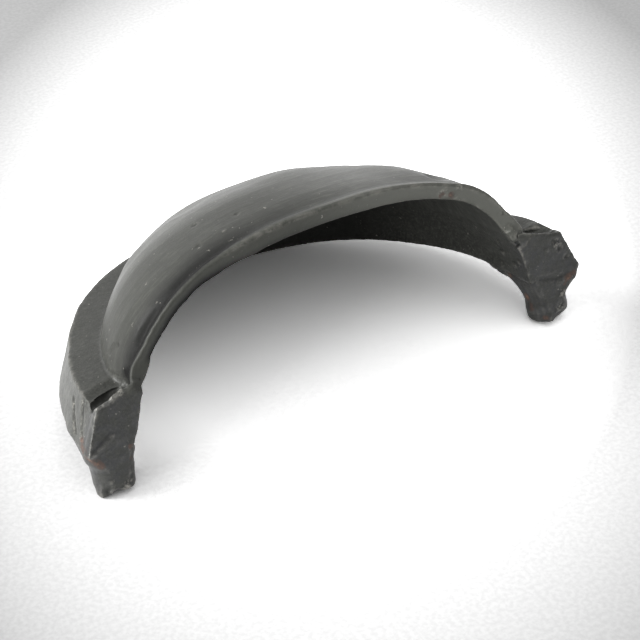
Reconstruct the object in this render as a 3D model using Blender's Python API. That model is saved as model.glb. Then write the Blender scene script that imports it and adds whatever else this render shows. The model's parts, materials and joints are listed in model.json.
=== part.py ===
"""Hooded drawer pull, a single rough iron casting with two spigots behind it.

The casting is drawn square to the drawer front: X across the drawer, V up it and W out of it,
with V = 0 at the foot of the end faces and W = 0 at the flat back. It is then laid down as it
comes to rest on a table, on the tips of its spigots and the back edge of its crown.
"""
import math

import bmesh
import bpy
from mathutils import Matrix, Vector
from mathutils.geometry import intersect_point_tri

MM = 0.001

# Overall sizes in millimetres
WIDTH = 102.0
HEIGHT = 54.2
PROJECTION = 27.4

# Flange: a half-round slab, thick at the ends and thinner at the crown, its side flaring to the back
FLANGE_END_THICK = 7.8
FLANGE_CROWN_THICK = 6.6
FLANGE_CENTRE_DROP = 2.4
SIDE_FLARE = 2.9
CROWN_FLARE = 0.6
FLANGE_EDGE_RADIUS = 0.5
BACK_EDGE_CHAMFER = 0.4
END_LEAN = 0.13

# Hood: a bulging quarter shell that rises from the flange, with a level land left around it. It was
# struck a little to the left of the flange's middle
SIDE_LAND = 6.0
CROWN_LAND = 3.1
HOOD_OFFSET = 0.1
HOOD_CENTRE = 6.0
HOOD_ARCH_POWER = 2.4
HOOD_CREST_POWER = 2.15
HOOD_PLAN_POWER = 1.68
HOOD_PROFILE_POWER = 2.04
HOOD_SINK = 0.35

# Rim: the flat lip round the opening, and the cove that parts it from the hood
RIM_SETBACK = 1.5
RIM_LEAN = 0.10
RIM_WALL = 3.6
RIM_DISH = 0.9
RIM_CORNER = 0.4
RIM_BEAD = 1.3
COVE_DEPTH_SIDE = 1.1
COVE_DEPTH_TOP = 0.35
COVE_LENGTH = 9.0

# Finger space, cut from the back right through the hood
CROWN_WALL = 7.8
CAVITY_ARCH_POWER = 2.6
CAVITY_PLAN_POWER = 2.2

# Lip along the top of each end face, rising towards the rim, and the gutter behind it
LIP_THICK = 1.3
LIP_RISE = 2.2
LIP_END_GAP = 0.3
GUTTER_WIDTH = 2.6
GUTTER_DEPTH = 1.2
GUTTER_SLANT = 2.6

# Cheeks: how far the inner side of each leg leans away from the opening at the back, how far up the
# leg that runs, and how far above the flange it has run out
LEFT_CHEEK_LEAN = 3.5
LEFT_CHEEK_HEIGHT = 14.0
RIGHT_CHEEK_LEAN = 1.2
RIGHT_CHEEK_HEIGHT = 28.0
CHEEK_RUN_OUT = 4.2
CHEEK_INSET = 0.05

# Spigots: stubs behind the ends, nearly round at the tip and spread over the whole end at the root.
# The right one is stouter and longer, and its root runs on as a web up the leg
LEFT_SPIGOT_INSET = 4.9
LEFT_SPIGOT_WIDTH = 7.4
LEFT_SPIGOT_DEPTH = 7.0
LEFT_SPIGOT_LENGTH = 7.3
LEFT_TIP_ROUND = 0.6
LEFT_ROOT_LENGTH = 3.5
LEFT_ROOT_DEPTH = 9.5
RIGHT_SPIGOT_INSET = 6.05
RIGHT_SPIGOT_WIDTH = 7.6
RIGHT_SPIGOT_DEPTH = 7.6
RIGHT_SPIGOT_LENGTH = 9.3
RIGHT_TIP_ROUND = 2.2
RIGHT_ROOT_LENGTH = 5.5
RIGHT_ROOT_DEPTH = 13.0
ROOT_MARGIN = 0.3
ROOT_INSET = 0.1
ROOT_POWER = 7.0
STUB_POWER = 2.3

# How finely the curves are stepped, how far a solid runs on into the one it joins, and how near two
# corners are welded
OUTLINE_STEPS = 72
ARCH_STEPS = 64
HOOD_RINGS = 13
CAVITY_RINGS = 16
CHEEK_RINGS = 8
CHEEK_STEPS = 4
SPIGOT_STEPS = 20
OVERRUN = 6.0
WELD_DISTANCE = 0.001


def swell(share, power):
    """Height of a unit superellipse at this share of its base."""
    return max(0.0, 1.0 - abs(share) ** power) ** (1.0 / power)


def superellipse(angle, power):
    """Point of a unit superellipse at this angle."""
    c = math.cos(angle)
    s = math.sin(angle)
    return (math.copysign(abs(c) ** (2.0 / power), c),
            math.copysign(abs(s) ** (2.0 / power), s))


def loft(name, rings):
    """Closed solid through a row of rings that have the same number of points, in millimetres."""
    bm = bmesh.new()
    loops = [[bm.verts.new(Vector(point) * MM) for point in ring] for ring in rings]
    for lower, upper in zip(loops, loops[1:]):
        for i, corner in enumerate(lower):
            j = (i + 1) % len(lower)
            bm.faces.new((corner, lower[j], upper[j], upper[i]))
    bm.faces.new(reversed(loops[0]))
    bm.faces.new(loops[-1])
    bmesh.ops.triangulate(bm, faces=bm.faces)
    bmesh.ops.recalc_face_normals(bm, faces=bm.faces)
    mesh = bpy.data.meshes.new(name)
    bm.to_mesh(mesh)
    bm.free()
    solid = bpy.data.objects.new(name, mesh)
    bpy.context.collection.objects.link(solid)
    return solid


def as_guide(solid):
    """Mark a solid that only shapes the casting."""
    solid.hide_render = True
    solid.display_type = 'WIRE'
    return solid


def combine(casting, guide, operation):
    """Add a guide solid to the casting or cut it away."""
    cut = casting.modifiers.new(guide.name, 'BOOLEAN')
    cut.operation = operation
    cut.object = as_guide(guide)
    cut.solver = 'EXACT'


def flange_front(v):
    """Distance of the flange's front face from the back, at this height up the drawer."""
    share = v / (HEIGHT - CROWN_FLARE)
    return FLANGE_END_THICK + (FLANGE_CROWN_THICK - FLANGE_END_THICK) * share


def flange_outline(half_width, crown):
    """Half-round outline that runs past the end faces, as (x, v) points."""
    radius = crown + FLANGE_CENTRE_DROP
    points = [(-half_width, -OVERRUN)]
    for i in range(OUTLINE_STEPS + 1):
        angle = math.pi * (1.0 - i / OUTLINE_STEPS)
        points.append((half_width * math.cos(angle), radius * math.sin(angle) - FLANGE_CENTRE_DROP))
    points.append((half_width, -OVERRUN))
    return points


def flange_side(v):
    """Half width of the flange's back at this height up the drawer."""
    share = max(0.0, v + FLANGE_CENTRE_DROP) / (HEIGHT + FLANGE_CENTRE_DROP)
    return WIDTH / 2 * math.sqrt(1.0 - share * share)


def make_flange():
    """Slab from the flat back to the front face, with a rounded front edge."""
    rings = []

    def add_ring(inset, depth_share, lift):
        flare = depth_share
        outline = flange_outline(WIDTH / 2 - SIDE_FLARE * flare - inset,
                                 HEIGHT - CROWN_FLARE * flare - inset)
        rings.append([(x, v, flange_front(v) * depth_share + lift) for x, v in outline])

    add_ring(BACK_EDGE_CHAMFER, 0.0, 0.0)
    add_ring(0.0, 0.0, BACK_EDGE_CHAMFER)
    for angle in (0.0, 30.0, 60.0, 90.0):
        turn = math.radians(angle)
        add_ring(FLANGE_EDGE_RADIUS * (1.0 - math.cos(turn)), 1.0,
                 FLANGE_EDGE_RADIUS * (math.sin(turn) - 1.0))
    return loft("drawer_pull", rings)


def make_end_trim():
    """Block that squares off both ends along one leaning plane."""
    bottom = -max(LEFT_SPIGOT_LENGTH, RIGHT_SPIGOT_LENGTH) - OVERRUN
    top = PROJECTION + OVERRUN
    rings = []
    for x in (-WIDTH, WIDTH):
        rings.append([(x, END_LEAN * bottom, bottom), (x, END_LEAN * top, top),
                      (x, -3 * OVERRUN, top), (x, -3 * OVERRUN, bottom)])
    return loft("end_trim", rings)


def hood_size():
    """Half width, height above the centre line and projection of the hood."""
    half_width = WIDTH / 2 - SIDE_FLARE - SIDE_LAND
    crown = HEIGHT - CROWN_FLARE - CROWN_LAND - HOOD_CENTRE
    sink = FLANGE_CROWN_THICK / PROJECTION
    return half_width, crown / swell(sink, HOOD_PROFILE_POWER), PROJECTION


def hood_ring(start, lean, inset, cove):
    """Arch-shaped section of the hood. Its base is hidden inside the flange."""
    half_width, crown, projection = hood_size()
    height = projection * swell((start - HOOD_CENTRE) / crown, HOOD_PROFILE_POWER)
    upwards = max(0.0, start - HOOD_CENTRE) / crown
    power = HOOD_ARCH_POWER + (HOOD_CREST_POWER - HOOD_ARCH_POWER) * upwards
    foot = math.asin((FLANGE_CROWN_THICK * HOOD_SINK / height) ** (power / 2))
    points = []
    for i in range(ARCH_STEPS + 1):
        angle = foot + (math.pi - 2.0 * foot) * (1.0 - i / ARCH_STEPS)
        across, out = superellipse(angle, power)
        share = (start - HOOD_CENTRE) / crown
        v = start + lean * projection * swell(share, HOOD_PROFILE_POWER) * out
        share = max(0.0, (v - HOOD_CENTRE) / crown)
        x = half_width * swell(share, HOOD_PLAN_POWER) * across
        w = projection * swell(share, HOOD_PROFILE_POWER) * out
        depth = inset + cove * (COVE_DEPTH_SIDE + (COVE_DEPTH_TOP - COVE_DEPTH_SIDE) * out ** 2)
        shrink = 1.0 - depth / math.hypot(x, w)
        points.append((x * shrink - HOOD_OFFSET, v, w * shrink))
    return points


def make_hood():
    """Hood from its dished rim, over the cove, to its foot at the crown."""
    crown = hood_size()[1]
    dish = [hood_ring(RIM_SETBACK + RIM_DISH * 2, RIM_LEAN, RIM_WALL * 2, 0.0)]
    corner = [hood_ring(RIM_SETBACK, RIM_LEAN, RIM_CORNER, 0.0),
              hood_ring(RIM_SETBACK + RIM_CORNER, RIM_LEAN, 0.0, 0.0)]
    back_of_bead = RIM_SETBACK + RIM_BEAD
    cove = []
    for share, depth in ((0.0, 0.15), (0.1, 0.9), (0.22, 1.0), (0.4, 0.75), (0.65, 0.35), (1.0, 0.0)):
        start = back_of_bead + COVE_LENGTH * share
        cove.append(hood_ring(start, RIM_LEAN * (1.0 - share), 0.0, depth))
    rings = dish + corner + cove
    first = back_of_bead + COVE_LENGTH
    last = HOOD_CENTRE + crown * swell(FLANGE_CROWN_THICK * 0.7 / PROJECTION, HOOD_PROFILE_POWER)
    for i in range(1, HOOD_RINGS + 1):
        share = math.sin(math.pi / 2 * i / HOOD_RINGS)
        rings.append(hood_ring(first + (last - first) * share, 0.0, 0.0, 0.0))
    return loft("hood", rings)


def cavity_half_width():
    """Half width of the finger space between the two legs."""
    return hood_size()[0] - RIM_WALL


def make_cavity():
    """Finger space: a domed hollow that is open at the back and at the rim."""
    half_width = cavity_half_width()
    crown = HEIGHT - CROWN_WALL - HOOD_CENTRE
    projection = PROJECTION - RIM_WALL
    rings = []
    for i in range(-1, CAVITY_RINGS):
        share = math.sin(math.pi / 2 * max(i, 0) / CAVITY_RINGS)
        v = HOOD_CENTRE + crown * share if i >= 0 else -OVERRUN * 1.5
        size = swell(share, CAVITY_PLAN_POWER)
        ring = [(-half_width * size, v, -OVERRUN)]
        for j in range(1, ARCH_STEPS):
            across, out = superellipse(math.pi * (1.0 - j / ARCH_STEPS), CAVITY_ARCH_POWER)
            ring.append((half_width * size * across, v, projection * size * out))
        ring.append((half_width * size, v, -OVERRUN))
        rings.append([(x - HOOD_OFFSET, v, w) for x, v, w in ring])
    tip = swell(math.sin(math.pi / 2 * (CAVITY_RINGS - 0.5) / CAVITY_RINGS), CAVITY_PLAN_POWER) * 0.3
    rings.append([(x * tip, HOOD_CENTRE + crown, w * tip if w > 0 else w) for x, v, w in rings[-1]])
    return loft("finger_space", rings)


def make_cheek(name, side, lean, height):
    """Cutter that leans the inner side of one leg outwards, fading out up the leg and towards the hood."""
    half_width = cavity_half_width()
    crown = HEIGHT - CROWN_WALL - HOOD_CENTRE
    projection = PROJECTION - RIM_WALL
    level = 0.2 * height
    top = FLANGE_END_THICK + CHEEK_RUN_OUT
    rings = []
    for i in range(-1, CHEEK_RINGS + 1):
        share = max(i, 0) / CHEEK_RINGS
        v = level + (height - level) * share if i >= 0 else -OVERRUN
        size = swell(max(0.0, v - HOOD_CENTRE) / crown, CAVITY_PLAN_POWER)
        outline = []
        for j in range(CHEEK_STEPS + 1):
            w = top * j / CHEEK_STEPS
            wall = half_width * size * swell(w / (projection * size), CAVITY_ARCH_POWER)
            outline.append((wall + lean * (1.0 - share * share) * (1.0 - w / top) - CHEEK_INSET, w))
        foot = outline[0][0]
        outline.extend([(foot - OVERRUN - lean, top), (foot - OVERRUN - lean, -OVERRUN), (foot, -OVERRUN)])
        rings.append([(side * x - HOOD_OFFSET, v, w) for x, w in outline])
    return loft(name, rings)


def make_cheeks():
    """Both cheeks."""
    return [make_cheek("left_cheek", -1, LEFT_CHEEK_LEAN, LEFT_CHEEK_HEIGHT),
            make_cheek("right_cheek", 1, RIGHT_CHEEK_LEAN, RIGHT_CHEEK_HEIGHT)]


def make_spigot(name, side, sizes):
    """Stub behind one end. Its front lies in the end plane and its root covers the end's back."""
    inset, width, depth, length, tip_round, root_length, root_depth, root_inner = sizes
    centre = WIDTH / 2 - inset
    root_outer = WIDTH / 2 - ROOT_INSET
    start = 0.4 * root_length
    hidden_outer = root_outer - ROOT_MARGIN - SIDE_FLARE * start / FLANGE_END_THICK
    sections = [(start, root_inner, hidden_outer, root_depth, ROOT_POWER, 1.0),
                (BACK_EDGE_CHAMFER, root_inner, root_outer, root_depth, ROOT_POWER, 1.0)]
    for i in range(6):
        share = i / 5
        ease = share * share * (3.0 - 2.0 * share)
        inner = root_inner + (centre - width / 2 - root_inner) * ease
        outer = root_outer + (centre + width / 2 - root_outer) * ease
        back = root_depth + (depth - root_depth) * (1.0 - (1.0 - share) ** 2)
        power = ROOT_POWER + (STUB_POWER - ROOT_POWER) * math.sqrt(share)
        sections.append((-root_length * share, inner, outer, back, power, 1.0 - ease))
    for angle in (0.0, 30.0, 60.0, 90.0):
        turn = math.radians(angle)
        trim = tip_round * (1.0 - math.cos(turn))
        sections.append((-length + tip_round * (1.0 - math.sin(turn)), centre - width / 2 + trim,
                         centre + width / 2 - trim, depth - trim, STUB_POWER, 0.0))
    rings = []
    for w, inner, outer, back, power, follow in sections:
        front = END_LEAN * w - ROOT_MARGIN
        ring = []
        for i in range(SPIGOT_STEPS):
            across, up = superellipse(math.tau * (i + 0.5) / SPIGOT_STEPS, power)
            v = front + back * (0.5 + 0.5 * up)
            curve = (WIDTH / 2 - flange_side(v)) * follow * max(0.0, across)
            ring.append((side * ((inner + outer) / 2 + across * (outer - inner) / 2 - curve), v, w))
        rings.append(ring)
    return loft(name, rings)


def make_spigots():
    """Both spigots."""
    inner = cavity_half_width() + ROOT_MARGIN
    left = (LEFT_SPIGOT_INSET, LEFT_SPIGOT_WIDTH, LEFT_SPIGOT_DEPTH, LEFT_SPIGOT_LENGTH, LEFT_TIP_ROUND,
            LEFT_ROOT_LENGTH, LEFT_ROOT_DEPTH, inner + HOOD_OFFSET + LEFT_CHEEK_LEAN)
    right = (RIGHT_SPIGOT_INSET, RIGHT_SPIGOT_WIDTH, RIGHT_SPIGOT_DEPTH, RIGHT_SPIGOT_LENGTH, RIGHT_TIP_ROUND,
             RIGHT_ROOT_LENGTH, RIGHT_ROOT_DEPTH, inner - HOOD_OFFSET + RIGHT_CHEEK_LEAN)
    return [make_spigot("left_spigot", -1, left), make_spigot("right_spigot", 1, right)]


def make_lip(side):
    """Thin wedge along the top of one end face, from the outer corner up to the rim."""
    outer = WIDTH / 2 - SIDE_FLARE - FLANGE_EDGE_RADIUS
    inner = cavity_half_width() + LIP_END_GAP
    front = END_LEAN * FLANGE_END_THICK
    rings = []
    for share, rise in ((0.0, 0.05), (0.3, 0.3), (0.65, 0.7), (0.85, 1.0), (1.0, 1.0)):
        x = side * (outer + (inner - outer) * share)
        low = FLANGE_END_THICK - 1.5
        high = FLANGE_END_THICK + LIP_RISE * rise
        thick = LIP_THICK * (0.7 + 0.6 * share)
        rings.append([(x, 0.0, low), (x, 0.0, high - 0.3 * LIP_THICK), (x, front + 0.6 * thick, high),
                      (x, front + thick, high - 0.3 * LIP_THICK), (x, front + thick, low)])
    return loft("left_lip" if side < 0 else "right_lip", rings)


def make_gutter(side):
    """Boat-shaped cutter for the slanting hollow behind the lip of one end face."""
    inner = hood_size()[0] - RIM_WALL * 0.3
    outer = WIDTH / 2 - SIDE_FLARE
    start = END_LEAN * FLANGE_END_THICK + LIP_THICK + GUTTER_WIDTH * 0.4
    rings = []
    steps = 8
    for i in range(steps + 1):
        share = math.sin(math.pi / 2 * (2.0 * i / steps - 1.0))
        size = max(0.1, math.sqrt(1.0 - share * share))
        inwards = (1.0 - share) / 2
        x = side * (outer + (inner - outer) * inwards)
        v = start + GUTTER_SLANT * inwards
        ring = []
        for j in range(12):
            turn = math.tau * j / 12
            ring.append((x, v + math.cos(turn) * GUTTER_WIDTH / 2 * size,
                         flange_front(v) + math.sin(turn) * GUTTER_DEPTH * (1.0 + inwards) / 1.5 * size))
        rings.append(ring)
    return loft("left_gutter" if side < 0 else "right_gutter", rings)


def weight_centre(bm):
    """Centre of mass of the closed solid."""
    total = 0.0
    moment = Vector()
    for a, b, c in bm.calc_loop_triangles():
        volume = a.vert.co.dot(b.vert.co.cross(c.vert.co))
        total += volume
        moment += volume * (a.vert.co + b.vert.co + c.vert.co) / 4
    return moment / total


def resting_turn(bm):
    """Turn that brings the casting down on both spigot tips and the back edge of its crown."""
    centre = weight_centre(bm)
    hull = bmesh.new()
    for vert in bm.verts:
        hull.verts.new(vert.co)
    bmesh.ops.convex_hull(hull, input=hull.verts)
    down = Vector((0.0, 0.0, -1.0))
    best = None
    for face in hull.faces:
        normal = face.normal
        if normal.z > -0.5 or len(face.verts) != 3:
            continue
        corners = [vert.co for vert in face.verts]
        foot = centre + normal * (corners[0] - centre).dot(normal)
        if intersect_point_tri(foot, *corners) and (best is None or normal.z < best.z):
            best = normal.copy()
    hull.free()
    return best.rotation_difference(down).to_matrix().to_4x4()


def lay_down(casting):
    """Bake the modifiers, then turn the casting to its rest and centre it on the table."""
    depsgraph = bpy.context.evaluated_depsgraph_get()
    mesh = bpy.data.meshes.new_from_object(casting.evaluated_get(depsgraph))
    casting.modifiers.clear()
    casting.data = mesh
    bm = bmesh.new()
    bm.from_mesh(mesh)
    bmesh.ops.remove_doubles(bm, verts=bm.verts, dist=WELD_DISTANCE * MM)
    bmesh.ops.dissolve_degenerate(bm, edges=bm.edges, dist=WELD_DISTANCE * MM)
    bm.transform(resting_turn(bm))
    lows = [min(vert.co[i] for vert in bm.verts) for i in range(3)]
    highs = [max(vert.co[i] for vert in bm.verts) for i in range(3)]
    bm.transform(Matrix.Translation((-(lows[0] + highs[0]) / 2, -(lows[1] + highs[1]) / 2, -lows[2])))
    bm.to_mesh(mesh)
    bm.free()
    mesh.shade_smooth()
    mesh.set_sharp_from_angle(angle=math.radians(30.0))


def cast_iron():
    """Dark oiled iron as it leaves the sand."""
    iron = bpy.data.materials.new("cast_iron")
    iron.use_nodes = True
    shader = iron.node_tree.nodes["Principled BSDF"]
    shader.inputs["Base Color"].default_value = (0.035, 0.036, 0.034, 1.0)
    shader.inputs["Metallic"].default_value = 0.4
    shader.inputs["Roughness"].default_value = 0.5
    return iron


def main():
    for thing in list(bpy.data.objects):
        bpy.data.objects.remove(thing)
    casting = make_flange()
    guides = [(spigot, 'UNION') for spigot in make_spigots()]
    guides.extend((make_lip(side), 'UNION') for side in (-1, 1))
    guides.append((make_end_trim(), 'DIFFERENCE'))
    guides.append((make_hood(), 'UNION'))
    guides.extend((make_gutter(side), 'DIFFERENCE') for side in (-1, 1))
    guides.append((make_cavity(), 'DIFFERENCE'))
    guides.extend((cheek, 'DIFFERENCE') for cheek in make_cheeks())
    for guide, operation in guides:
        combine(casting, guide, operation)
    lay_down(casting)
    casting.data.materials.clear()
    casting.data.materials.append(cast_iron())


main()
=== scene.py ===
"""Finishes a hooded drawer pull: one rough black iron casting, lying on a pale studio table."""
import json
import math

import bpy
import numpy as np
from bpy.props import FloatProperty, FloatVectorProperty, PointerProperty
from mathutils import Euler, Matrix, Vector, noise


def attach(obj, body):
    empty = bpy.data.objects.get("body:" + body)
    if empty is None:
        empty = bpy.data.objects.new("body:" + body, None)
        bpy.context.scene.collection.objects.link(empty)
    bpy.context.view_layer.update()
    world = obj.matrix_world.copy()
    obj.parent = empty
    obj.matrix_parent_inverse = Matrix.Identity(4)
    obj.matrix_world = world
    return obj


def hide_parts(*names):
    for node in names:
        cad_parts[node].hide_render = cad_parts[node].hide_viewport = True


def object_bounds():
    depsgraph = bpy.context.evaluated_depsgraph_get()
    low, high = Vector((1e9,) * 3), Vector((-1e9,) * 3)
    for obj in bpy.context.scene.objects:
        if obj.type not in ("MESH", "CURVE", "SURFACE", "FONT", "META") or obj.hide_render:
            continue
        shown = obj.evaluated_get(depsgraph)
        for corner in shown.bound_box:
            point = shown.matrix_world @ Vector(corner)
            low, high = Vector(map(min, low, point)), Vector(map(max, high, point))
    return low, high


bl_info = {
    "name": "Hooded Drawer Pull",
    "version": (1, 0, 0),
    "blender": (4, 5, 0),
    "location": "3D View > Sidebar > Drawer Pull",
    "description": "Finishes a cast-iron hooded drawer pull around its packed solid, with a small studio",
    "category": "Object",
}

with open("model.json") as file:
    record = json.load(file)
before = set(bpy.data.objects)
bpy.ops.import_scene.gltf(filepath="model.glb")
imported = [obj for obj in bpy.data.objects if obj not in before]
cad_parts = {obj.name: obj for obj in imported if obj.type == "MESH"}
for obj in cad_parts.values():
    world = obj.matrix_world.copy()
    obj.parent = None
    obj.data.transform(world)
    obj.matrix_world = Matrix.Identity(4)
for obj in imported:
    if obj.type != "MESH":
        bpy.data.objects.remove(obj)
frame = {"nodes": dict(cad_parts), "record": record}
CAD_BOX = [list(corner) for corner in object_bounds()]
MM = 0.001

# Where the foot of the end faces meets the flat back, half way across, as the pull lies on the table
FOOT_OF_BACK = Vector((0.01, -25.61, 8.95)) * MM

# The tables below are in millimetres on the casting's own axes: X across, V up the drawer, W out of it.
# Hood: half width and height of its outline on the flange, where that starts, and where it leaves the flange
HOOD_HALF_WIDTH = 42.5
HOOD_HEIGHT = 45.3
HOOD_START = 6.0
HOOD_RISE = 8.0
# Rim: how far it stands back from the foot of the end faces, and how far it leans back for each millimetre up
RIM_SETBACK = 1.5
RIM_LEAN = 0.1
# Wax streaks: the radius about the V axis at which the way round the hood is measured
STREAK_RADIUS = 32.0
# Mould texture: size of its slack waves, how high they stand, and size of its lumps and grains
WAVE_SIZE = 9.0
WAVE_HEIGHT = 0.08
LUMP_SIZE = 2.4
GRAIN_SIZE = 1.0

# Where the casting runs out of true: its place, its reach and how far it is drawn there
OUT_OF_TRUE = {
    "hood crest, right of the middle": ((21.0, 16.0, 24.2), 9.0, (0.10, 0.05, 0.43)),
    "hood crest, left of the middle": ((6.0, 28.5, 23.6), 9.0, (0.05, 0.14, 0.40)),
    "hood, left shoulder": ((-12.0, 33.0, 21.2), 6.0, (0.10, -0.20, -0.45)),
    "hood, left flank": ((-24.9, 31.0, 16.1), 5.0, (-0.15, 0.12, 0.15)),
    "dip behind the rim, right": ((27.2, 10.7, 22.4), 3.5, (-0.36, 0.0, -0.75)),
    "rim, right flank": ((31.0, 4.7, 21.0), 7.0, (0.20, 0.04, 0.33)),
    "rim, right foot": ((37.4, 3.8, 15.1), 4.0, (-0.24, 0.0, -0.18)),
    "rim's inner edge, top": ((-14.3, 5.0, 23.1), 4.0, (0.03, 0.0, -0.25)),
    "rim's inner edge, upper left": ((-24.8, 4.7, 20.6), 3.5, (-0.10, 0.0, 0.27)),
    "rim's inner edge, left": ((-32.4, 4.0, 16.2), 5.0, (0.16, 0.0, -0.22)),
    "flange's shoulder": ((-21.0, 47.5, 6.7), 7.0, (-0.07, 0.22, 0.06)),
    "flange's left edge, high": ((-28.0, 43.0, 6.5), 6.5, (-0.18, 0.18, 0.06)),
    "flange's left edge, middle": ((-33.0, 38.5, 6.4), 6.0, (-0.22, 0.18, 0.08)),
    "flange's left edge, low": ((-42.2, 25.3, 6.0), 4.0, (0.24, -0.12, -0.12)),
    "flange's right front": ((46.5, 10.0, 7.5), 5.0, (0.0, 0.0, 0.25)),
    "flange's left back edge": ((-49.6, 10.0, 0.5), 4.0, (-0.28, 0.0, -0.05)),
    "pocket between the left valley and the cove": ((-41.0, 4.5, 8.9), 2.3, (0.3, 0.8, -1.5)),
    "left leg, inner edge": ((-39.1, 1.2, 7.4), 3.0, (-0.32, 0.0, 0.0)),
    "left leg, step over the spigot": ((-42.1, 0.1, 0.4), 2.0, (-0.45, 0.0, 0.0)),
    "left spigot, bulge under the step": ((-42.6, 1.1, -1.2), 1.6, (0.40, 0.0, 0.0)),
    "left spigot, inner side": ((-42.9, 0.6, -6.3), 2.5, (-0.33, 0.0, 0.0)),
    "left spigot, outer root": ((-50.3, 2.6, -1.7), 2.5, (-0.35, 0.0, -0.10)),
    "left spigot, pointed corner": ((-49.3, 0.9, -7.2), 2.2, (-0.45, -0.20, -0.80)),
    "left spigot, notch beside the corner": ((-47.3, -0.9, -7.2), 1.3, (0.0, 0.10, 0.55)),
    "right leg, start of its web": ((40.2, 10.1, -0.4), 3.2, (-0.55, 0.05, -0.50)),
    "right end, outer corner": ((50.0, 0.3, -1.0), 3.0, (0.60, -0.25, -0.25)),
    "right spigot, inner side of the tip": ((42.0, 2.4, -8.5), 3.0, (-0.55, 0.05, -0.40)),
    "right spigot, outer side of the tip": ((45.9, -1.1, -9.2), 3.2, (-0.35, 0.55, 0.95)),
    "right spigot, waist": ((48.0, 0.0, -4.6), 1.8, (-0.45, 0.10, 0.0)),
}
# Grooves cut by hand: where each starts and ends, and its radius there
GROOVES = {
    "left valley": ((-48.6, 3.0, 7.4), (-39.9, 3.8, 8.8), 0.8, 1.3),
}
# Faces rubbed flat: a place on the flat, the way it faces, its reach and how far the rub goes in
FLATS = {
    "rim's left foot into the end face": ((-37.9, 2.3, 10.2), (0.0, -1.0, 0.30), 3.2, 1.7),
    "rim's right foot into the end face": ((38.4, 2.4, 9.8), (0.0, -1.0, 0.30), 2.8, 1.6),
}
# Edges drawn aside: reach, then the places along the edge, each with how far it is drawn there
DRAWN_EDGES = {
    "rim's outer edge, lower left": (2.6, (
        ((-39.6, 3.2, 11.6), (0.0, 0.0, 0.0)), ((-37.6, 4.0, 15.0), (0.85, 0.0, -0.35)),
        ((-35.2, 4.4, 17.5), (0.65, 0.0, -0.35)), ((-32.5, 4.4, 19.8), (0.4, 0.0, -0.3)),
        ((-29.6, 4.4, 21.7), (0.25, 0.0, -0.25)), ((-24.5, 4.5, 23.9), (0.0, 0.0, 0.0)))),
    "bed of the cove, lower left": (1.7, (
        ((-40.0, 5.0, 11.4), (0.0, 0.0, 0.0)), ((-38.0, 5.5, 15.2), (0.65, 0.0, -0.3)),
        ((-35.8, 5.7, 18.0), (0.65, 0.0, -0.4)), ((-33.0, 5.7, 20.5), (0.55, 0.0, -0.5)),
        ((-29.8, 5.8, 22.6), (0.35, 0.0, -0.4)), ((-22.0, 5.8, 25.6), (0.0, 0.0, 0.0)))),
}
# Burrs, creases and file marks: where each starts and ends, its half width and its height
STROKES = {
    "burr on the left lip": ((-44.6, 1.5, 8.6), (-42.4, 1.9, 9.1), 0.7, 0.35),
    "crease under the burr": ((-44.8, 2.7, 8.0), (-42.0, 2.9, 9.0), 0.55, -0.35),
    "crest of the left lip": ((-47.6, 1.6, 7.8), (-41.2, 1.9, 9.6), 0.6, 0.22),
    "slope down to the left valley": ((-47.4, 5.0, 7.6), (-41.8, 7.0, 7.7), 3.0, -0.45),
    "first file mark on the left side": ((-47.4, 11.6, 5.2), (-49.7, 7.0, 1.6), 0.55, -0.30),
    "second file mark on the left side": ((-47.2, 7.2, 7.0), (-49.8, 4.0, 2.2), 0.5, -0.32),
    "edge between the left side and end": ((-48.0, 1.6, 6.6), (-50.4, 1.6, 0.6), 0.9, 0.18),
    "facet under the left end": ((-46.3, 0.2, 2.6), (-49.9, 0.1, 0.6), 0.8, 0.22),
    "bed of the right valley": ((39.6, 2.5, 9.4), (46.6, 2.0, 7.8), 1.3, -0.50),
    "hump over the right valley": ((40.6, 4.4, 10.4), (45.6, 6.4, 7.8), 1.9, 0.35),
    "edge of the rim's right foot": ((37.4, 2.9, 11.6), (38.6, 2.7, 8.6), 0.7, 0.25),
    "crease round the right spigot's root": ((42.0, 0.0, 0.3), (46.6, 0.0, -0.9), 0.9, -0.20),
    "swelling over the right spigot": ((46.0, -0.5, -1.8), (49.0, -0.1, -1.4), 1.0, 0.25),
}
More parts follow.
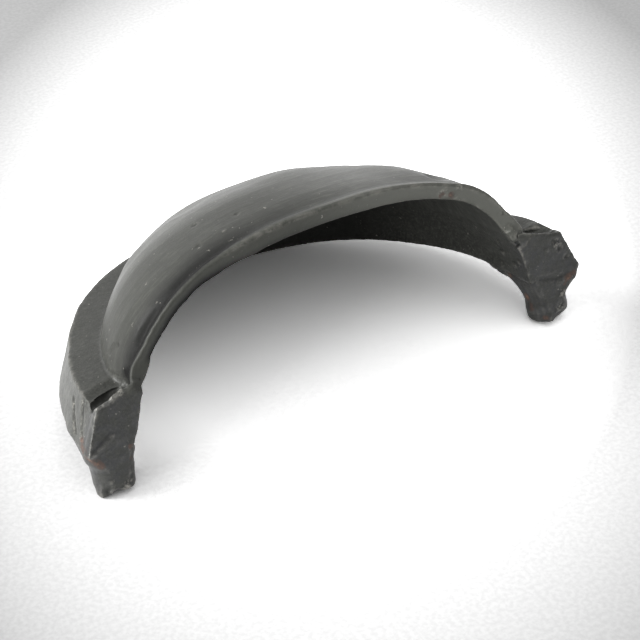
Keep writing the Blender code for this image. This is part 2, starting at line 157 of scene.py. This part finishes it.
# Nodules of iron from holes in the sand, and pits from grains of it: place, radius and height
NODULES = {
    "right leg": (((39.4, 8.3, 1.2), 0.7, 0.35), ((39.2, 4.0, 2.6), 0.7, 0.35), ((39.0, 2.5, 3.9), 0.6, 0.35),
                  ((38.4, 7.9, 6.3), 0.6, 0.3), ((38.5, 2.9, 9.7), 0.8, 0.3), ((37.8, 3.1, 8.7), 0.6, 0.3),
                  ((38.9, 7.1, 4.3), 0.6, 0.3)),
    "right end": (((45.8, 0.8, 6.5), 0.6, -0.3), ((47.0, 0.6, 4.7), 0.6, -0.3), ((48.4, 0.3, 2.6), 0.5, -0.3),
                  ((46.6, 0.7, 5.6), 0.5, 0.25), ((44.2, 0.6, 5.2), 0.6, 0.2)),
    "right spigot": (((46.6, -0.6, -4.3), 0.9, 0.25), ((46.0, -0.8, -6.3), 0.9, -0.25),
                     ((45.3, -0.9, -7.4), 0.8, 0.3)),
    "left spigot": (((-48.8, -0.4, -6.4), 0.8, -0.5), ((-45.4, -0.9, -6.7), 0.7, 0.25),
                    ((-44.2, -0.6, -5.4), 0.6, -0.25), ((-48.1, -0.6, -5.1), 0.5, 0.2)),
    "hood": (((-17.3, 19.2, 24.5), 0.7, -0.2), ((-21.0, 11.0, 24.8), 0.6, -0.15),
             ((-16.0, 10.7, 26.0), 0.5, 0.15), ((-11.5, 14.3, 26.3), 0.5, -0.2),
             ((-39.3, 12.2, 10.8), 0.6, -0.3), ((-38.5, 10.2, 12.7), 0.6, -0.3),
             ((-39.5, 6.4, 10.4), 0.6, 0.25), ((-38.7, 11.8, 12.1), 0.5, 0.25)),
    "rim": (((24.3, 4.3, 21.8), 0.6, -0.2), ((25.5, 4.3, 21.1), 0.6, 0.2), ((26.9, 4.2, 20.6), 0.6, -0.2),
            ((27.9, 3.9, 22.3), 0.7, 0.2)),
}
NODULE_SPREAD = 1.3
# Rust, edges worn to bare iron, and the hollows of the left end, dark with painted shade and with soot and old
# wax: place and radius.
# Each fades out at its radius times its spread, as the nodules do
RUST = (
    ((-50.2, 3.7, 1.5), 1.3), ((-50.6, 2.0, 0.6), 1.3), ((-50.5, 1.0, -0.3), 1.2),
    ((-49.8, 0.2, -0.9), 1.1), ((-49.1, -0.2, -1.8), 0.9), ((-43.1, 0.0, -0.2), 0.9),
    ((-43.4, -0.3, -2.6), 0.9), ((48.1, -0.2, -1.5), 1.2), ((49.6, 0.1, -1.2), 1.2),
    ((47.3, -0.3, -2.6), 0.8), ((41.1, 3.2, -4.4), 1.2), ((41.2, 2.3, -6.0), 1.2),
    ((40.0, 6.8, -0.9), 0.9), ((42.6, -0.3, -7.9), 0.9), ((24.3, 4.3, 21.6), 0.9),
    ((26.2, 4.2, 20.9), 1.2), ((36.4, 7.6, 2.0), 0.8),
)
BARE = (
    ((-50.0, 4.4, 1.9), 0.8), ((-43.0, 0.1, -0.6), 0.7), ((-45.0, -0.9, -7.0), 1.3),
    ((-43.0, 1.9, 9.1), 1.0), ((46.7, -0.5, -4.2), 1.0), ((45.6, -0.9, -6.8), 1.0),
    ((48.6, -0.1, -1.8), 0.9), ((24.4, 4.3, 22.0), 1.0), ((27.9, 3.9, 22.3), 0.8),
    ((40.2, 7.6, -0.6), 0.9), ((46.6, 0.7, 5.6), 1.0), ((38.4, 3.2, 9.2), 1.0),
)
SHADE_AND_SOOT = (
    ((-40.8, 4.3, 8.9), 2.6), ((-43.5, 4.0, 7.8), 1.7), ((-46.4, 3.3, 7.4), 1.6),
)
RUST_SPREAD = 1.25
BARE_SPREAD = 1.4
SHADE_AND_SOOT_SPREAD = 1.3
# Where old wax keeps the edges round the left pocket from being worn: place and reach
UNWORN = ((-41.3, 3.4, 9.2), 4.5)

# Softboxes, all aimed at the pull: place, width and depth in metres, and power in watts
SOFTBOXES = {
    "key_softbox": ((-0.52, 0.38, 0.46), 0.35, 0.35, 5.0),
    "side_softbox": ((-0.75, 0.0, 0.16), 0.6, 0.25, 4.0),
    "top_softbox": ((0.15, -0.30, 0.85), 1.0, 1.0, 2.8),
    "back_softbox": ((0.20, 0.85, 0.28), 1.2, 0.45, 2.1),
}
# How bright the white tent round the table is, and how wide the paper is, in metres
TENT_STRENGTH = 0.38
TABLE_SIZE = 3.0
# Ovals in which the paper's light falls off: middle and half sizes in metres, and turn in degrees
OVAL_PLACE = (0.0285, 0.0230, 0.0)
OVAL_SIZE = (0.0788, 0.1394, 1.0)
OVAL_TURN = -33.0
# Camera: its place, its turn in degrees and the width of its sensor in millimetres
CAMERA_PLACE = Vector((-142.92, -234.70, 202.16)) * MM
CAMERA_TURN = (53.787, -0.727, -32.58)
SENSOR_WIDTH = 36.0


def linear(hex_colour):
    """Linear RGB of an sRGB hex colour."""
    channels = [int(hex_colour[i:i + 2], 16) / 255 for i in (0, 2, 4)]
    return [c / 12.92 if c <= 0.04045 else ((c + 0.055) / 1.055) ** 2.4 for c in channels]


def add_node(tree, kind, settings=None, inputs=None):
    """Add a node with its settings. An input is a value, or the socket that it is linked from."""
    node = tree.nodes.new(kind)
    for name, value in (settings or {}).items():
        setattr(node, name, value)
    for name, value in (inputs or {}).items():
        if isinstance(value, bpy.types.NodeSocket):
            tree.links.new(value, node.inputs[name])
        else:
            node.inputs[name].default_value = value
    return node


# Settings that a user would change

class CastingSettings(bpy.types.PropertyGroup):
    grain_step: FloatProperty(
        name="Grain step", description="Distance between the surface points that carry the sand's texture",
        default=0.42 * MM, min=0.3 * MM, max=2 * MM, precision=5, unit='LENGTH')
    sand_depth: FloatProperty(
        name="Sand depth", description="How deep the sand mould's texture goes into the flange and ends",
        default=0.035 * MM, min=0.0, max=0.5 * MM, precision=5, unit='LENGTH')
    iron_colour: FloatVectorProperty(
        name="Iron", description="Waxed black iron", subtype='COLOR', default=linear("444540"),
        min=0.0, max=1.0)
    end_colour: FloatVectorProperty(
        name="Ends", description="Iron of the hand-dressed ends", subtype='COLOR', default=linear("38393b"),
        min=0.0, max=1.0)
    bare_colour: FloatVectorProperty(
        name="Worn edges", description="Iron rubbed bare", subtype='COLOR', default=linear("a3a098"),
        min=0.0, max=1.0)
    rust_colour: FloatVectorProperty(
        name="Rust", description="Rust where the wax has worn off the edges", subtype='COLOR',
        default=linear("57453d"), min=0.0, max=1.0)
    fresh_rust_colour: FloatVectorProperty(
        name="Fresh rust", description="The paler heart of each rust spot", subtype='COLOR',
        default=linear("8a6a55"), min=0.0, max=1.0)


class StageSettings(bpy.types.PropertyGroup):
    table_colour: FloatVectorProperty(
        name="Table", description="White paper sweep", subtype='COLOR', default=linear("f8f8f8"),
        min=0.0, max=1.0)
    overexposure: FloatProperty(
        name="Overexposure", description="How much paler the camera sees the sweep than it is", default=2.1,
        min=1.0, max=3.0)
    lens: FloatProperty(
        name="Lens", description="Focal length on a 36 mm wide frame", default=102.7, min=20.0, max=300.0)


# The casting's own frame

def casting_axes():
    """Matrix from the casting's own axes (X across, V up the drawer, W out of it) to the table."""
    seat = next(m for m in frame["record"]["mounts"] if m["name"] == "back")
    turn = Vector((0.0, 0.0, -1.0)).rotation_difference(Vector(seat["axis"]))
    return Matrix.Translation(FOOT_OF_BACK) @ turn.to_matrix().to_4x4()


def read_points(piece):
    """Vertex places and normals as the pull lies, as arrays in metres."""
    mesh = piece.data
    places = np.empty(len(mesh.vertices) * 3)
    mesh.vertices.foreach_get("co", places)
    normals = np.empty(len(mesh.vertices) * 3)
    mesh.vertex_normals.foreach_get("vector", normals)
    return places.reshape(-1, 3), normals.reshape(-1, 3)


def write_points(piece, places):
    """Put the vertices back, kept inside the solid's own box."""
    low, high = (np.array(corner) for corner in CAD_BOX)
    piece.data.vertices.foreach_set("co", np.clip(places, low, high).ravel())
    piece.data.update()


def turned(places, matrix):
    """Places carried by a matrix."""
    return places @ np.array(matrix.to_3x3()).T + np.array(matrix.translation)


def on_own_axes(places, normals):
    """Places in millimetres and normals, both on the casting's own axes."""
    axes = casting_axes()
    return turned(places, axes.inverted()) / MM, normals @ np.array(axes.to_3x3())


# Shares between 0 and 1, one for each point

def band(value, start, end):
    """0 before start, 1 after end, smooth between."""
    share = np.clip((value - start) / (end - start), 0.0, 1.0)
    return share * share * (3.0 - 2.0 * share)


def fading(gap):
    """1 where a gap is 0, falling smoothly to 0 where it is 1."""
    return np.maximum(1.0 - gap * gap, 0.0) ** 2


def near(own, place, reach):
    """1 at a place, falling smoothly to 0 at this reach."""
    return fading(np.linalg.norm(own - np.array(place), axis=1) / reach)


def spots(own, table, spread):
    """1 at the spots of a table, falling smoothly to 0 at their radius times this spread."""
    return np.clip(sum(near(own, place, radius * spread) for place, radius in table), 0.0, 1.0)


def beside_line(own, start, end):
    """How far along a line each point lies, from 0 to 1, and its gap to the line."""
    start, way = np.array(start), np.array(end) - np.array(start)
    share = np.clip((own - start) @ way / (way @ way), 0.0, 1.0)
    return share, np.linalg.norm(own - start - share[:, None] * way, axis=1)


def round_hood(own):
    """0 in the middle of the hood's outline on the flange, 1 on it and more outside it."""
    x, v, _ = own.T
    return np.hypot(x / HOOD_HALF_WIDTH, np.maximum(v - HOOD_START, 0.0) / HOOD_HEIGHT)


# Shaping the casting

def activate(piece):
    """Select one piece alone and make it the active one."""
    bpy.ops.object.select_all(action='DESELECT')
    piece.select_set(True)
    bpy.context.view_layer.objects.active = piece


def copy_of_solid(node, name):
    """New piece from a CAD node's mesh, with its loose triangles joined."""
    activate(node)
    bpy.ops.object.duplicate(linked=False)
    piece = bpy.context.object
    piece.name = name
    piece.data.name = name
    bpy.ops.object.mode_set(mode='EDIT')
    bpy.ops.mesh.select_all(action='SELECT')
    bpy.ops.mesh.remove_doubles(threshold=0.01 * MM)
    bpy.ops.object.mode_set(mode='OBJECT')
    return piece


def cut_groove(piece, name, start, end, radius_at_start, radius_at_end):
    """Cut a round-bottomed groove with a tapered bar."""
    axes = casting_axes()
    start, end = (axes @ (Vector(place) * MM) for place in (start, end))
    bpy.ops.mesh.primitive_cone_add(
        vertices=16, radius1=radius_at_start * MM, radius2=radius_at_end * MM, depth=(end - start).length,
        location=(start + end) / 2, rotation=(end - start).to_track_quat('Z', 'Y').to_euler())
    bar = bpy.context.object
    activate(piece)
    cut = piece.modifiers.new(name, 'BOOLEAN')
    cut.operation = 'DIFFERENCE'
    cut.object = bar
    bpy.ops.object.modifier_apply(modifier=cut.name)
    bpy.data.objects.remove(bar)


def remesh(piece, step):
    """Even out the surface, which also rounds every edge as poured iron does."""
    activate(piece)
    piece.data.remesh_voxel_size = step
    piece.data.use_remesh_preserve_volume = True
    bpy.ops.object.voxel_remesh()
    soften = piece.modifiers.new("soften", 'SMOOTH')
    soften.factor = 0.5
    soften.iterations = 2
    bpy.ops.object.modifier_apply(modifier=soften.name)


def drawn_aside(own, reach, path):
    """How far each point is drawn aside with an edge, given as places and their draws."""
    nearest = np.full(len(own), np.inf)
    shift = np.zeros_like(own)
    for (start, first), (end, last) in zip(path, path[1:]):
        share, gap = beside_line(own, start, end)
        closer = gap < nearest
        nearest = np.where(closer, gap, nearest)
        draw = (1.0 - share)[:, None] * np.array(first) + share[:, None] * np.array(last)
        shift = np.where(closer[:, None], draw, shift)
    return shift * fading(nearest / reach)[:, None]


def rubbed_flat(own, place, facing, reach, depth):
    """How far each point moves when a face is rubbed flat around a place."""
    facing = np.array(facing) / np.linalg.norm(facing)
    gap = (own - np.array(place)) @ facing
    beside = np.linalg.norm(own - np.array(place) - gap[:, None] * facing, axis=1) / reach
    share = np.maximum(1.0 - beside ** 4, 0.0) ** 2 * np.maximum(1.0 - (gap / depth) ** 4, 0.0)
    return -facing * (gap * share)[:, None]


def dress(piece):
    """Draw the casting out of true, then give it its flats, burrs, creases, nodules and pits."""
    own, normals = on_own_axes(*read_points(piece))
    moved = own.copy()
    for place, reach, draw in OUT_OF_TRUE.values():
        moved += near(own, place, reach)[:, None] * np.array(draw)
    for reach, path in DRAWN_EDGES.values():
        moved += drawn_aside(own, reach, path)
    for place, facing, reach, depth in FLATS.values():
        moved += rubbed_flat(moved, place, facing, reach, depth)
    for start, end, half_width, height in STROKES.values():
        _, gap = beside_line(own, start, end)
        moved += normals * (fading(gap / half_width) * height)[:, None]
    for group in NODULES.values():
        for place, radius, height in group:
            moved += normals * (near(own, place, radius * NODULE_SPREAD) * height)[:, None]
    write_points(piece, turned(moved * MM, casting_axes()))


def cast_noise(places, lump):
    """Smooth noise between about -1 and 1, with lumps of this size in millimetres."""
    return np.array([noise.noise(point) for point in places / (lump * MM)]) * 1.6


def roughen(piece, depth):
    """Sand-cast surface: slack waves everywhere, and a coarse grain where no file or hand has smoothed it."""
    places, normals = read_points(piece)
    own, _ = on_own_axes(places, normals)
    _, v, w = own.T
    flange = band(round_hood(own), 0.98, 1.02)
    ends = 1.0 - band(v, 4.0, 7.0)
    rough = np.maximum(flange, ends) * (1.0 - band(w, HOOD_RISE + 0.2, HOOD_RISE + 1.5))
    wave = cast_noise(places, WAVE_SIZE) * WAVE_HEIGHT * MM
    lumps = cast_noise(places, LUMP_SIZE) * depth * (0.2 + 0.8 * rough)
    grain = cast_noise(places, GRAIN_SIZE) * depth * 0.5 * (0.1 + 0.9 * rough)
    write_points(piece, places + normals * (wave + lumps + grain)[:, None])


# Marks that the material follows

def bend_of_surface(piece):
    """How much each point stands proud of its neighbours, in millimetres."""
    mesh = piece.data
    places, normals = read_points(piece)
    pairs = np.empty(len(mesh.edges) * 2, dtype=np.int32)
    mesh.edges.foreach_get("vertices", pairs)
    a, b = pairs.reshape(-1, 2).T
    total = np.zeros_like(places)
    count = np.bincount(pairs, minlength=len(places))[:, None]
    for axis in range(3):
        total[:, axis] = (np.bincount(a, places[b, axis], len(places))
                          + np.bincount(b, places[a, axis], len(places)))
    return ((places - total / count) * normals).sum(axis=1) / MM


def mark_surface(piece):
    """Store where the iron is polished, where shade is painted into the cove, the finger space and the
    hollows, where it is darker, worn or rusty, and the way that the wax was rubbed.
    """
    own, normals = on_own_axes(*read_points(piece))
    x, v, w = own.T
    radial = np.hypot(x, w)
    proud = bend_of_surface(piece)
    behind_rim = v - RIM_SETBACK - RIM_LEAN * w
    low_left = band(x, -16.0, -26.0)
    hood = band(round_hood(own), 1.02, 0.98) * band(w, HOOD_RISE, HOOD_RISE + 2.0)
    # The finger space looks inwards and lies behind the rim. It is painted dark there as painted shade, which
    # gets lighter towards the right leg
    inside = band(-(normals * own).sum(axis=1) / radial, -0.1, 0.3) * band(behind_rim, 0.8, 2.0)
    inside *= 1.0 - 0.9 * band(x, 24.0, 37.5)
    # Painted shade: the cove is painted dark from the rim's outer edge to well up the hood, mostly on the
    # left. The hollows of the left end add painted shade with soot
    cove = band(behind_rim, 0.6 - 0.4 * low_left, 1.4 - 0.5 * low_left) * band(behind_rim, 7.5, 1.8) * hood
    cove *= 0.15 + 0.85 * band(x, 2.0, -22.0)
    cove = np.clip(cove + spots(own, SHADE_AND_SOOT, SHADE_AND_SOOT_SPREAD), 0.0, 1.0)
    lip = 1.0 - band(behind_rim, 0.9 - 0.8 * low_left, 1.7 - 0.9 * low_left)
    lip *= band(w, HOOD_RISE, HOOD_RISE + 3.0)
    end = np.maximum(1.0 - band(v, 2.0, 5.0), 1.0 - band(w, -1.0, 1.0)) * (1.0 - hood)
    as_cast = (1.0 - hood) * band(normals[:, 2], 0.7, 0.95) * band(v, 3.0, 5.0)
    worn = np.clip(proud / 0.10, 0.0, 1.0) * (1.0 - low_left * hood) * (1.0 - cove)
    worn *= 1.0 - near(own, *UNWORN)
    marks = {
        "polish": hood,
        "inside": inside,
        "cove": cove,
        "lip": lip,
        "end": end,
        "worn": worn,
        # Painted shade and dirt in the hollows of the surface
        "shade_and_dirt": np.clip(-proud / 0.08, 0.0, 1.0) * (1.0 - lip),
        # The lower left of the hood and the flange's flats, drawn darker
        "darker_hood_and_flats": np.maximum(hood * band(v, 28.0, 18.0) * band(x, 16.0, -8.0), as_cast),
        "rust": spots(own, RUST, RUST_SPREAD),
        "bare": spots(own, BARE, BARE_SPREAD),
    }
    for name, value in marks.items():
        piece.data.attributes.new(name, 'FLOAT', 'POINT').data.foreach_set("value", value)
    flow = np.stack([np.arctan2(w, x) * STREAK_RADIUS, v, radial], axis=1) * MM
    piece.data.attributes.new("flow", 'FLOAT_VECTOR', 'POINT').data.foreach_set("vector", flow.ravel())


# Materials

def combined(tree, operation, *parts):
    """Parts put together by one operation. A part is a socket, or one with its range and what that becomes."""
    total = None
    for part in parts:
        if not isinstance(part, bpy.types.NodeSocket):
            value, low, high, to_low, to_high = part
            part = add_node(tree, 'ShaderNodeMapRange', inputs={
                "Value": value, "From Min": low, "From Max": high,
                "To Min": to_low, "To Max": to_high}).outputs["Result"]
        if total is None:
            total = part
        else:
            total = add_node(tree, 'ShaderNodeMath', {"operation": operation}, {
                0: total, 1: part}).outputs["Value"]
    return total


def black_iron(settings):
    """Grey iron, sand-cast, blackened and waxed: a dull satin black that silvers at grazing angles."""
    material = bpy.data.materials.new("black_waxed_cast_iron")
    material.use_nodes = True
    tree = material.node_tree
    shader = tree.nodes["Principled BSDF"]
    shader.inputs["Metallic"].default_value = 0.5
    shader.inputs["Coat Roughness"].default_value = 0.32
    place = add_node(tree, 'ShaderNodeTexCoord').outputs["Object"]
    polish, end, darker_hood_and_flats, lip, cove, inside, shade_and_dirt, worn, bare, rust = (
        add_node(tree, 'ShaderNodeAttribute', {"attribute_name": name}).outputs["Fac"]
        for name in ("polish", "end", "darker_hood_and_flats", "lip", "cove", "inside", "shade_and_dirt", "worn", "bare", "rust"))
    # Rubbing drew the hood's wax out along its bend, in streaks about 0.6 mm wide and 6 mm long
    flow = add_node(tree, 'ShaderNodeAttribute', {"attribute_name": "flow"}).outputs["Vector"]
    rubbed = add_node(tree, 'ShaderNodeMapping', inputs={
        "Vector": flow, "Scale": (0.1, 1.0, 0.4)}).outputs["Vector"]
    # Besides the streaks: cloudy wax in patches of 7 mm, a mottle of 1.6 mm, sand grain of 0.5 mm, and the
    # peaks of a 0.9 mm noise, which are nicks about 0.3 mm across and some 3 mm apart
    noises = {
        "streak": (rubbed, 0.6, 4.0, 0.6),
        "cloud": (place, 7.0, 2.0, 0.5),
        "mottle": (place, 1.6, 4.0, 0.65),
        "sand": (place, 0.5, 3.0, 0.6),
        "peaks": (place, 0.9, 2.0, 0.5),
    }
    streak, cloud, mottle, sand, peaks = (
        add_node(tree, 'ShaderNodeTexNoise', inputs={
            "Vector": way, "Scale": 1.0 / (size * MM), "Detail": detail, "Roughness": rough}).outputs["Fac"]
        for way, size, detail, rough in noises.values())
    nick = combined(tree, 'ADD', (peaks, 0.71, 0.78, 0.0, 1.0))
    rusty = combined(tree, 'MULTIPLY', rust, (mottle, 0.35, 0.6, 0.0, 1.0))

    iron = settings.iron_colour[:]
    dark = [c * 0.62 for c in iron]
    pale = [c * 1.9 for c in iron]
    bare_iron = settings.bare_colour[:]
    # From the bottom up. The oiled black is a little green, and neutral on the hand-dressed ends. The hood's
    # lower left and the flats are darker, painted shade darkens the cove and the finger space and, with dirt,
    # the hollows, and edges are rubbed pale between the grains
    layers = (
        (settings.end_colour[:], end),
        (dark, (cloud, 0.62, 0.38, 0.0, 0.35)),
        (dark, (mottle, 0.60, 0.40, 0.0, 0.85), (polish, 0.0, 1.0, 1.0, 0.45)),
        (pale, (sand, 0.48, 0.68, 0.0, 1.0), (polish, 0.0, 1.0, 1.0, 0.4), (end, 0.0, 1.0, 1.0, 0.25)),
        (pale, (streak, 0.50, 0.62, 0.0, 1.0), polish),
        (pale, (lip, 0.0, 1.0, 0.0, 0.95)),
        # The lower left of the hood and the flange's flats are darker
        (dark, (darker_hood_and_flats, 0.0, 1.0, 0.0, 0.6)),
        # Painted shade: the cove near black, with soot in the hollows of the left end
        ([c * 0.03 for c in iron], (cove, 0.0, 1.0, 0.0, 0.97)),
        # Painted shade: the finger space dark
        ([c * 0.25 for c in iron], (inside, 0.0, 1.0, 0.0, 0.85)),
        # Painted shade and dirt in the hollows of the surface
        ([c * 0.3 for c in iron], (shade_and_dirt, 0.0, 1.0, 0.0, 0.6)),
        (bare_iron, worn, (mottle, 0.4, 0.6, 0.0, 0.55)),
        (bare_iron, bare, (sand, 0.48, 0.6, 0.0, 0.8)),
        (bare_iron, (nick, 0.0, 1.0, 0.0, 0.65)),
        (settings.rust_colour[:], (rusty, 0.15, 0.5, 0.0, 0.85)),
        (settings.fresh_rust_colour[:], (rusty, 0.65, 0.95, 0.0, 0.8)),
    )
    colour = (*iron, 1.0)
    for layer_colour, *parts in layers:
        colour = add_node(tree, 'ShaderNodeMix', {"data_type": 'RGBA'}, {
            0: combined(tree, 'MULTIPLY', *parts), 6: colour, 7: (*layer_colour, 1.0)}).outputs[2]
    tree.links.new(colour, shader.inputs["Base Color"])

    # Where shade is painted into the cove and the finger space, and on the darker hood and flats, the iron is
    # matt and hides the wax. Rust is rough
    matt = combined(tree, 'MAXIMUM', cove, inside, (darker_hood_and_flats, 0.0, 1.0, 0.0, 0.6))
    tree.links.new(combined(tree, 'ADD', (matt, 0.0, 1.0, 0.4, 0.04)), shader.inputs["Coat Weight"])
    roughness = combined(tree, 'ADD', (streak, 0.35, 0.7, -0.04, 0.06), (sand, 0.3, 0.7, 0.38, 0.48),
                         (matt, 0.0, 1.0, 0.0, 0.35), (rusty, 0.1, 0.4, 0.0, 0.25))
    tree.links.new(roughness, shader.inputs["Roughness"])
    # Relief of the grain, weaker where it is polished, with the streaks in the wax and the nicks
    grain = combined(tree, 'MULTIPLY', sand, (polish, 0.0, 1.0, 1.0, 0.25))
    lumps = combined(tree, 'MULTIPLY', mottle, (polish, 0.0, 1.0, 1.2, 0.5))
    streaks = combined(tree, 'MULTIPLY', streak, (polish, 0.0, 1.0, 0.0, 0.5))
    relief = combined(tree, 'ADD', grain, lumps, streaks, (nick, 0.0, 1.0, 0.0, -0.6))
    bump = add_node(tree, 'ShaderNodeBump', inputs={"Height": relief, "Strength": 0.8, "Distance": 0.13 * MM})
    tree.links.new(bump.outputs["Normal"], shader.inputs["Normal"])
    return material


def paper(settings):
    """White background paper: matt and overexposed, so its shadow is pale and its edges fall off slowly."""
    material = bpy.data.materials.new("white_paper_sweep")
    material.use_nodes = True
    tree = material.node_tree
    tree.nodes.remove(tree.nodes["Principled BSDF"])
    place = add_node(tree, 'ShaderNodeTexCoord').outputs["Object"]
    oval = add_node(tree, 'ShaderNodeMapping', {"vector_type": 'TEXTURE'}, {
        "Vector": place, "Location": OVAL_PLACE, "Rotation": (0.0, 0.0, math.radians(OVAL_TURN)),
        "Scale": OVAL_SIZE}).outputs["Vector"]
    away = add_node(tree, 'ShaderNodeVectorMath', {"operation": 'LENGTH'}, {0: oval}).outputs["Value"]
    # Paper tooth, drawn about 0.8 mm so that it shows in the shadow
    tooth = add_node(tree, 'ShaderNodeTexNoise', inputs={
        "Vector": place, "Scale": 1.0 / (0.8 * MM), "Detail": 2.0, "Roughness": 0.5}).outputs["Fac"]
    bright = combined(tree, 'MULTIPLY', (away, 0.55, 0.76, settings.overexposure, 1.05),
                      (away, 0.72, 1.10, 1.0, 0.43), (tooth, 0.35, 0.65, 1.0, 0.9))
    seen = add_node(tree, 'ShaderNodeCombineColor', inputs={"Red": bright, "Green": bright, "Blue": bright})
    # Only the camera sees it overexposed, so no more light falls from it on the iron
    for_camera = add_node(tree, 'ShaderNodeLightPath').outputs["Is Camera Ray"]
    colour = add_node(tree, 'ShaderNodeMix', {"data_type": 'RGBA'}, {
        0: for_camera, 6: (*settings.table_colour[:], 1.0), 7: seen.outputs["Color"]}).outputs[2]
    matt = add_node(tree, 'ShaderNodeBsdfDiffuse', inputs={"Color": colour})
    tree.links.new(matt.outputs["BSDF"], tree.nodes["Material Output"].inputs["Surface"])
    return material


# Operators

class DRAWERPULL_OT_casting(bpy.types.Operator):
    """Cast the pull: the solid with rounded edges, its hand-finished ends and its sand texture"""
    bl_idname = "drawerpull.casting"
    bl_label = "Casting"
    bl_options = {'REGISTER', 'UNDO'}

    def execute(self, context):
        settings = context.scene.drawerpull_casting
        piece = copy_of_solid(frame["nodes"]["drawer_pull"], "iron_casting")
        for name, (start, end, radius_at_start, radius_at_end) in GROOVES.items():
            cut_groove(piece, name, start, end, radius_at_start, radius_at_end)
        remesh(piece, settings.grain_step)
        dress(piece)
        roughen(piece, settings.sand_depth)
        mark_surface(piece)
        activate(piece)
        bpy.ops.object.shade_smooth()
        piece.data.materials.clear()
        piece.data.materials.append(black_iron(settings))
        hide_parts("drawer_pull")
        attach(piece, "root")
        return {'FINISHED'}


class DRAWERPULL_OT_stage(bpy.types.Operator):
    """Set up the table, the lights and the camera"""
    bl_idname = "drawerpull.stage"
    bl_label = "Stage"
    bl_options = {'REGISTER', 'UNDO'}

    def execute(self, context):
        settings = context.scene.drawerpull_stage
        bpy.ops.object.select_all(action='DESELECT')
        bpy.ops.mesh.primitive_plane_add(size=TABLE_SIZE, location=(0.0, 0.0, 0.0))
        table = context.object
        table.name = "paper_table"
        table.data.materials.append(paper(settings))

        world = bpy.data.worlds.new("studio_tent")
        context.scene.world = world
        world.use_nodes = True
        tent = world.node_tree.nodes["Background"]
        tent.inputs["Color"].default_value = (1.0, 1.0, 1.0, 1.0)
        tent.inputs["Strength"].default_value = TENT_STRENGTH
        for name, (place, width, depth, power) in SOFTBOXES.items():
            bpy.ops.object.light_add(type='AREA', location=place)
            lamp = context.object
            lamp.name = name
            lamp.data.shape = 'RECTANGLE'
            lamp.data.size = width
            lamp.data.size_y = depth
            lamp.data.energy = power
            lamp.rotation_euler = (-lamp.location).to_track_quat('-Z', 'Y').to_euler()

        bpy.ops.object.camera_add(location=CAMERA_PLACE)
        camera = context.object
        camera.name = "studio_camera"
        camera.rotation_euler = Euler([math.radians(a) for a in CAMERA_TURN])
        camera.data.sensor_width = SENSOR_WIDTH
        camera.data.lens = settings.lens
        camera.data.clip_start = 0.01
        context.scene.camera = camera
        context.scene.view_settings.view_transform = 'Standard'
        return {'FINISHED'}


class DRAWERPULL_PT_sidebar(bpy.types.Panel):
    """Steps that build the drawer pull"""
    bl_idname = "DRAWERPULL_PT_sidebar"
    bl_label = "Drawer Pull"
    bl_space_type = 'VIEW_3D'
    bl_region_type = 'UI'
    bl_category = "Drawer Pull"

    def draw(self, context):
        layout = self.layout
        for name in CastingSettings.__annotations__:
            layout.prop(context.scene.drawerpull_casting, name)
        layout.operator(DRAWERPULL_OT_casting.bl_idname)
        for name in StageSettings.__annotations__:
            layout.prop(context.scene.drawerpull_stage, name)
        layout.operator(DRAWERPULL_OT_stage.bl_idname)


CLASSES = (CastingSettings, StageSettings, DRAWERPULL_OT_casting, DRAWERPULL_OT_stage, DRAWERPULL_PT_sidebar)


def register():
    for cls in CLASSES:
        bpy.utils.register_class(cls)
    bpy.types.Scene.drawerpull_casting = PointerProperty(type=CastingSettings)
    bpy.types.Scene.drawerpull_stage = PointerProperty(type=StageSettings)


def unregister():
    del bpy.types.Scene.drawerpull_stage
    del bpy.types.Scene.drawerpull_casting
    for cls in reversed(CLASSES):
        bpy.utils.unregister_class(cls)


def main():
    register()
    bpy.ops.drawerpull.casting()
    bpy.ops.drawerpull.stage()


if __name__ == "__main__":
    main()
